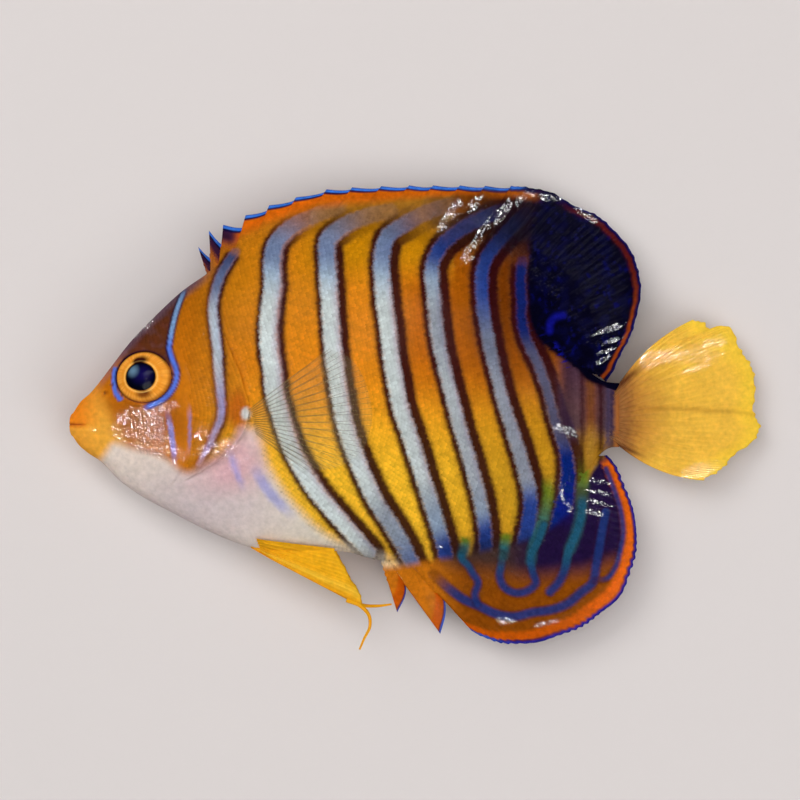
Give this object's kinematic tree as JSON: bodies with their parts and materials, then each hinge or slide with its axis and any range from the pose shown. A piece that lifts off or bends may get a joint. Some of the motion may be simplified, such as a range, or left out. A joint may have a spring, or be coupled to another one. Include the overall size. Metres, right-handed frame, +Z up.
{
  "type": "regal angelfish",
  "caption": "Small, deep-bodied reef fish lying on its right flank, with a tall back fin, a rounded tail, a long lower fin and two thread-tipped belly fins.",
  "frame": {"origin": "centre of the fish's bounding box at the level of the floor that its right flank rests on", "axes": "+X from the snout to the tail along the body, +Y from the belly to the back, +Z up out of the left flank"},
  "size_m": [0.0868, 0.0582, 0.0135],
  "materials": {
    "skin_orange": "wet orange to brown fish skin with fine scales and blue lines",
    "skin_banded": "wet scaled fish skin with orange, dark red and pale blue bands",
    "fin_orange": "wet orange fin skin over rays, with blue bands and a blue rim",
    "fin_blue": "wet blue-black fin skin over soft rays, with blue specks",
    "fin_yellow": "wet yellow fin skin over soft rays",
    "fin_clear": "thin, almost clear fin skin over fine rays",
    "eye": "glossy orange iris round a black pupil"
  },
  "bodies": {
    "root": {"head": "skin_orange", "gill_cover_left": "skin_orange", "gill_cover_right": "skin_orange", "torso": "skin_banded", "tail_root": "skin_banded", "dorsal_fin_spiny": "fin_orange", "dorsal_fin_soft": "fin_blue", "anal_fin": "fin_orange", "caudal_fin": "fin_yellow", "pectoral_fin_left": "fin_clear", "pectoral_fin_right": "fin_clear", "pelvic_fin_left": "fin_yellow", "pelvic_fin_right": "fin_yellow", "eye_left": "eye", "eye_right": "eye"}
  },
  "joints": []
}
